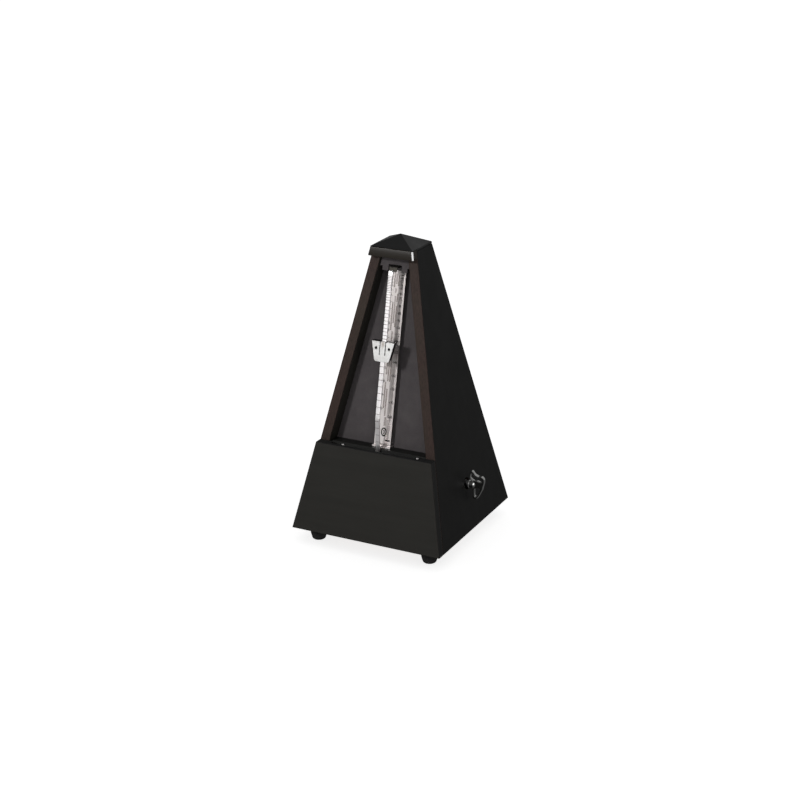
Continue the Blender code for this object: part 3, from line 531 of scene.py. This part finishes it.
def finishes():
    """Every finish, by name."""
    made = {name: lacquer(name, *settings) for name, settings in LACQUERS.items()}
    made.update({name: brushed(name, *settings) for name, settings in METALS.items()})
    made.update({name: ink(name, colour) for name, colour in INKS.items()})
    made.update({name: side_lacquer(name, inner) for name, inner in SIDE_INNERS.items()})
    made.update({"board_lacquer": board_lacquer(), "dial_paint": dial_paint(), "base_wood": base_wood()})
    made.update({"scale_metal": scale_metal(), "satin_silver": satin_silver()})
    made.update({"chrome": chrome(), "rubber": rubber()})
    return made


def paint(obj, mat):
    obj.data.materials.clear()
    obj.data.materials.append(mat)


def paint_nodes(looks):
    """Gives each CAD node the finish whose name fits it best."""
    for name, obj in frame["nodes"].items():
        fits = [(len(p), f) for f, starts in NODE_FINISH.items() for p in starts if name.startswith(p)]
        if not fits:
            raise ValueError(f"no finish for {name}")
        paint(obj, looks[max(fits)[1]])


# Meshes


def linked(name, mesh, mat):
    """A new painted object in the scene."""
    obj = bpy.data.objects.new(name, mesh)
    bpy.context.scene.collection.objects.link(obj)
    paint(obj, mat)
    return obj


def piece(name, bm, mat, body):
    """Turns a bmesh into a visible piece that rides a body."""
    for edge in bm.edges:
        edge.smooth = edge.is_manifold and edge.calc_face_angle(0.0) < SMOOTH_ANGLE
    for face in bm.faces:
        face.smooth = True
    mesh = bpy.data.meshes.new(name)
    bm.to_mesh(mesh)
    bm.free()
    obj = linked(name, mesh, mat)
    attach(obj, body)
    return obj


def loft(rings, closed=True):
    """Joins rings of equal length, with flat ends when closed."""
    bm = bmesh.new()
    made = [[bm.verts.new(p) for p in ring] for ring in rings]
    count = len(made[0])
    for low, high in zip(made, made[1:]):
        for i in range(count):
            j = (i + 1) % count
            bm.faces.new((low[i], low[j], high[j], high[i]))
    if closed:
        bm.faces.new(made[0][::-1])
        bm.faces.new(made[-1])
    bmesh.ops.recalc_face_normals(bm, faces=bm.faces)
    return bm


# Tempo readings


def reading_z(beats):
    """Height of the weight's top edge for a tempo in beats per minute."""
    w2 = (math.pi * beats / 60) ** 2
    root = math.sqrt(GRAVITY**2 + 4 * w2 * (TEMPO_TERM - w2 * TEMPO_INERTIA))
    return PIVOT_Z + READING_DROP + (root - GRAVITY) / (2 * w2) / MM


def tempos():
    """The standard series from 40 to 208."""
    beats = list(range(40, 60, 2)) + list(range(60, 72, 3)) + list(range(72, 120, 4))
    return beats + list(range(120, 144, 6)) + list(range(144, 209, 8))


# Pendulum rod


def rod_depth(z):
    """The rod follows the sloping front down to its bend, then hangs upright."""
    return max(PIVOT_Y, FRONT_LEAN * z + ROD_D)


def rod_ring(z, half, inset):
    """The rod's section at height z; inset cuts its front face back."""
    y = rod_depth(z)
    front, back = y - ROD_T / 2 + inset, y + ROD_T / 2
    outline = [(-half, front + ROD_EDGE), (-half + ROD_EDGE, front)]
    outline += [(half - ROD_EDGE, front), (half, front + ROD_EDGE)]
    outline += [(half, back - ROD_EDGE), (half - ROD_EDGE, back)]
    outline += [(-half + ROD_EDGE, back), (-half, back - ROD_EDGE)]
    return [level_point(x, depth, z) for x, depth in outline]


def notch_heights(z_high):
    """Every tempo's height, carried on at the last spacing down to the ledge, except at the bend and tip."""
    heights = [reading_z(beats) for beats in tempos()]
    spacing = heights[-2] - heights[-1]
    while heights[-1] - spacing > LEDGE_Z + LEDGE_CLEARANCE:
        heights.append(heights[-1] - spacing)
    return [z for z in heights if z < z_high - NOTCH_CLEARANCE and abs(z - BEND_Z) > NOTCH_CLEARANCE]


def build_rod(looks):
    """Notched edges and an engraved line across the front at every tempo."""
    low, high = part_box("pendulum_rod")
    z_low, z_high = case_z(low.z), case_z(high.z)
    rows = [(z_low, ROD_HALF, 0.0), (BEND_Z, ROD_HALF, 0.0)]
    for z in notch_heights(z_high):
        rows += [(z + rise, ROD_HALF - cut, depth) for rise, cut, depth in NOTCH_PROFILE]
    rows += [(z_high + rise, ROD_HALF - cut, depth) for rise, cut, depth in TIP_PROFILE]
    rings = [rod_ring(*row) for row in sorted(rows)]
    rod = piece("engraved_rod", loft(rings), looks["nickel"], "pendulum")
    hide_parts("pendulum_rod")
    build_rod_marks(looks, z_high)


def build_rod_marks(looks, z_high):
    """Brown ink in the rod's engraved lines."""
    bm = bmesh.new()
    reach = ROD_HALF - MARK_INSET
    corners = ((-reach, -MARK_HALF), (reach, -MARK_HALF), (reach, MARK_HALF), (-reach, MARK_HALF))
    for z in notch_heights(z_high):
        points = [level_point(x, rod_depth(z + h) - ROD_T / 2 + MARK_SUNK, z + h) for x, h in corners]
        bm.faces.new([bm.verts.new(p) for p in points])
    piece("rod_marks", bm, looks["brown_ink"], "pendulum")


# Tempo scale


def print_point(x, z):
    """A point just in front of the scale's face."""
    return case_point(x, SCALE_D - PRINT_LIFT, z)


def add_outline(bm, points):
    bm.faces.new([bm.verts.new(print_point(x, z)) for x, z in points])


def add_bar(bm, x, z, width, height):
    add_outline(bm, [(x - width / 2, z - height / 2), (x + width / 2, z - height / 2),
                     (x + width / 2, z + height / 2), (x - width / 2, z + height / 2)])


def add_number(bm, value, x, z):
    """A plain upright number centred on x and z."""
    curve = bpy.data.curves.new("numeral", "FONT")
    curve.body = str(value)
    curve.size = NUMERAL_SIZE
    curve.align_x = "CENTER"
    curve.align_y = "CENTER"
    curve.resolution_u = 2
    curve.offset = NUMERAL_BOLDNESS
    holder = bpy.data.objects.new("numeral", curve)
    bpy.context.scene.collection.objects.link(holder)
    mesh = holder.to_mesh()
    places = [print_point(x + v.co.x * NUMERAL_NARROWING, z + v.co.y) for v in mesh.vertices]
    points = [bm.verts.new(place) for place in places]
    for polygon in mesh.polygons:
        bm.faces.new([points[i] for i in polygon.vertices])
    holder.to_mesh_clear()
    bpy.data.objects.remove(holder)
    bpy.data.curves.remove(curve)


def build_numerals(looks):
    """The tempos, alternately right and left of the middle, each with its tick."""
    bm = bmesh.new()
    for i, beats in enumerate(tempos()):
        side = 1 if i % 2 == 0 else -1
        z = reading_z(beats)
        add_number(bm, beats, side * NUMERAL_X, z)
        add_bar(bm, side * TICK_X, z, *TICK)
    piece("scale_numerals", bm, looks["dark_ink"], "case")


def build_range_bars(looks):
    """Three columns of upright brackets, each spanning a range of tempos, with small print beside them; also
    the foot's small print and two brown lines of painted shade at the scale's fold.
    """
    bm = bmesh.new()
    for first, last, column in TEMPO_RANGES:
        top, low = reading_z(first) - RANGE_MARGIN, reading_z(last) + RANGE_MARGIN
        x = COLUMN_X + (column - 1) * COLUMN_PITCH
        add_bar(bm, x, (top + low) / 2, RANGE_STEM, top - low)
        for z in (top, low):
            add_bar(bm, x, z, *RANGE_SERIF)
        rows = int((top - low) / WORD_PITCH)
        for k in range(rows):
            add_bar(bm, x + WORD_X, low + (k + 0.5) * (top - low) / rows, *WORD)
    # Painted shade: two brown lines where the scale's foot folds out
    for z in (SCALE_FOLD_Z, SCALE_FOLD_Z + FOLD_SHADE_PITCH):
        add_bar(bm, PRINT_X, z, *FOLD_SHADE_BAR)
    add_foot_print(bm)
    piece("scale_range_bars_and_fold_shade", bm, looks["brown_ink"], "case")


def add_foot_print(bm):
    """Small print either side of a short stem, above the oval ring."""
    span = (FOOT_ROWS - 1) * WORD_PITCH
    add_bar(bm, FOOT_PRINT_X, FOOT_PRINT_Z + span / 2, RANGE_STEM, span)
    for k in range(FOOT_ROWS):
        z = FOOT_PRINT_Z + k * WORD_PITCH
        add_bar(bm, FOOT_PRINT_X + WORD_X, z, *WORD)
        add_bar(bm, FOOT_WORD_X, z, *FOOT_WORD)


def build_ring(looks):
    """A plain oval ring near the foot of the scale, with a smaller one inside it."""
    bm = bmesh.new()
    for half_x, half_z, hole in RINGS:
        for i in range(RING_SIDES):
            a, b = (2 * math.pi * k / RING_SIDES for k in (i, i + 1))
            corners = ((1, a), (1, b), (hole, b), (hole, a))
            add_outline(bm, [(PRINT_X + half_x * r * math.cos(t), RING_Z + half_z * r * math.sin(t))
                             for r, t in corners])
    piece("scale_ring", bm, looks["dark_ink"], "case")


# Fascia and glue lines


def fascia_ring(z, inset):
    """The fascia's section at height z, with a chamfer down each upright edge."""
    half = half_width(z) - inset
    front, back = inset, FASCIA_T - inset
    outline = [(-half, front + FASCIA_CHAMFER), (-half + FASCIA_CHAMFER, front)]
    outline += [(half - FASCIA_CHAMFER, front), (half, front + FASCIA_CHAMFER), (half, back), (-half, back)]
    return [case_point(x, d, z) for x, d in outline]


def build_fascia(looks):
    """The top fascia with eased ends and wide chamfers, and a rubbed, glossy strip on each chamfer."""
    low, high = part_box("top_fascia")
    z0, z1 = case_z(low.z), case_z(high.z)
    rings = [fascia_ring(z0 + rise, inset) for rise, inset in FASCIA_EASING]
    rings += [fascia_ring(z1 - rise, inset) for rise, inset in reversed(FASCIA_EASING)]
    fascia = piece("chamfered_fascia", loft(rings), looks["fascia_lacquer"], "case")
    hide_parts("top_fascia")

    eased = FASCIA_EASING[-1][0]
    root = FASCIA_CHAMFER * RUBBED_ROOT
    for sign, side in ((-1, "left"), (1, "right")):
        edge = []
        for z in (z0 + eased, z1 - eased):
            half = half_width(z)
            corners = [(half - FASCIA_CHAMFER + RUBBED_PROUD, RUBBED_PROUD / 2),
                       (half - RUBBED_PROUD / 2, FASCIA_CHAMFER - RUBBED_PROUD), (half - root, root)]
            edge.append([case_point(sign * x, d, z) for x, d in corners])
        piece(f"fascia_edge_{side}", loft(edge), looks["rubbed_lacquer"], "case")


def build_glue_line(looks, name, joint, place):
    """A dark line of glue down each side, between two insets from the case's outer faces."""
    z0, z1, d0, d1, inner, outer = joint
    for sign, side in ((-1, "left"), (1, "right")):
        rings = []
        for z in (z0, z1):
            half = half_width(z)
            corners = ((half - inner, d0), (half - outer, d0), (half - outer, d1), (half - inner, d1))
            rings.append([place(sign * x, d, z) for x, d in corners])
        piece(f"{name}_{side}", loft(rings), looks["shelf_lacquer"], "case")


def build_joints(looks):
    """Glue between the side panels and the front board, the dial panel and the back panel."""
    build_glue_line(looks, "board_joint", BOARD_JOINT, case_point)
    build_glue_line(looks, "dial_joint", DIAL_JOINT, case_point)
    build_glue_line(looks, "back_joint", BACK_JOINT, back_point)


# Studio


def direction(azimuth, elevation):
    """From the object towards a place: azimuth 0 is in front, 90 on the right."""
    a, e = math.radians(azimuth), math.radians(elevation)
    return Vector((math.sin(a) * math.cos(e), -math.cos(a) * math.cos(e), math.sin(e)))


def aimed(obj, place, target, roll=0.0):
    """Puts a camera or lamp at a place, looking at the target."""
    obj.location = place
    look = (target - place).to_track_quat("-Z", "Y")
    obj.rotation_euler = (look @ Euler((0, 0, math.radians(roll))).to_quaternion()).to_euler()


def build_camera():
    """A long lens at the photographed angle."""
    data = bpy.data.cameras.new("camera")
    data.sensor_width = CAMERA_SENSOR
    data.lens = CAMERA_LENS
    data.shift_x = CAMERA_SHIFT
    data.clip_end = CAMERA_REACH
    camera = bpy.data.objects.new("camera", data)
    bpy.context.scene.collection.objects.link(camera)
    target = Vector((MID_X, 0.0, CAMERA_HEIGHT))
    place = target + direction(CAMERA_AZIMUTH, CAMERA_ELEVATION) * CAMERA_DISTANCE
    aimed(camera, place, target, CAMERA_ROLL)
    bpy.context.scene.camera = camera


def softbox(name, azimuth, elevation, distance, width, height, power, lit):
    """A lamp that can't be seen and lights one collection only."""
    data = bpy.data.lights.new(name, "AREA")
    data.shape = "RECTANGLE"
    data.size = width
    data.size_y = height
    data.energy = power
    lamp = bpy.data.objects.new(name, data)
    bpy.context.scene.collection.objects.link(lamp)
    target = Vector((MID_X, 0.0, LAMP_TARGET_Z))
    aimed(lamp, target + direction(azimuth, elevation) * distance, target)
    lamp.visible_camera = False
    lamp.light_linking.receiver_collection = lit


def stage_white(name, glow):
    """Matt, faintly mottled white that glows by itself, so that it stays plain."""
    mat, tree, shader = base_material(name, STAGE_WHITES[1], 0.9, specular=0.0)
    shader.inputs["Emission Color"].default_value = WHITE
    shader.inputs["Emission Strength"].default_value = glow
    tree.links.new(blend_colours(tree, noise(tree, (3, 3, 3)), *STAGE_WHITES), shader.inputs["Base Color"])
    return mat


def build_floor():
    """A wide white floor, which the lamps don't light."""
    mesh = bpy.data.meshes.new("floor")
    r = FLOOR_REACH
    mesh.from_pydata([(-r, -r, 0), (r, -r, 0), (r, r, 0), (-r, r, 0)], [], [(0, 1, 2, 3)])
    floor = linked("floor", mesh, stage_white("floor", FLOOR_GLOW))
    floor.visible_glossy = False
    floor.visible_shadow = False


def build_backdrop():
    """A plain white wall round the floor, which lights nothing."""
    turns = [2 * math.pi * i / BACKDROP_SIDES for i in range(BACKDROP_SIDES)]
    outline = [(BACKDROP_RADIUS * math.cos(a), BACKDROP_RADIUS * math.sin(a)) for a in turns]
    rings = [[Vector((x, y, z)) for x, y in outline] for z in (-BACKDROP_SUNK, BACKDROP_HEIGHT)]
    bm = loft(rings, closed=False)
    mesh = bpy.data.meshes.new("backdrop")
    bm.to_mesh(mesh)
    bm.free()
    wall = linked("backdrop", mesh, stage_white("backdrop", BACKDROP_GLOW))
    for ray in ("visible_diffuse", "visible_glossy", "visible_transmission", "visible_shadow"):
        setattr(wall, ray, False)


def build_surroundings():
    """Soft white light from all round, weaker from below."""
    world = bpy.data.worlds.new("studio")
    world.use_nodes = True
    tree = world.node_tree
    place = node(tree, "ShaderNodeTexCoord").outputs["Generated"]
    height = node(tree, "ShaderNodeSeparateXYZ", {"Vector": place}).outputs["Z"]
    (low, weak), (high, strong) = SKY_FOOT, SKY_HEAD
    tree.nodes["Background"].inputs["Color"].default_value = WHITE
    strength = spread(tree, height, low, high, weak, strong)
    tree.links.new(strength, tree.nodes["Background"].inputs["Strength"])
    bpy.context.scene.world = world
    bpy.context.scene.view_settings.view_transform = "Standard"


def build_studio():
    """The lamps light the object and not the floor; the small key leaves out the roof too."""
    subject = bpy.data.collections.new("subject")
    below_roof = bpy.data.collections.new("below_roof")
    for obj in bpy.context.scene.objects:
        if obj.type == "MESH":
            subject.objects.link(obj)
            if obj != frame["nodes"]["roof_cap"]:
                below_roof.objects.link(obj)
    build_floor()
    build_backdrop()
    build_surroundings()
    for name, settings in LAMPS.items():
        softbox(name, *settings, below_roof if name == "key" else subject)


looks = finishes()
paint_nodes(looks)
build_rod(looks)
build_numerals(looks)
build_range_bars(looks)
build_ring(looks)
build_fascia(looks)
build_joints(looks)
build_camera()
build_studio()
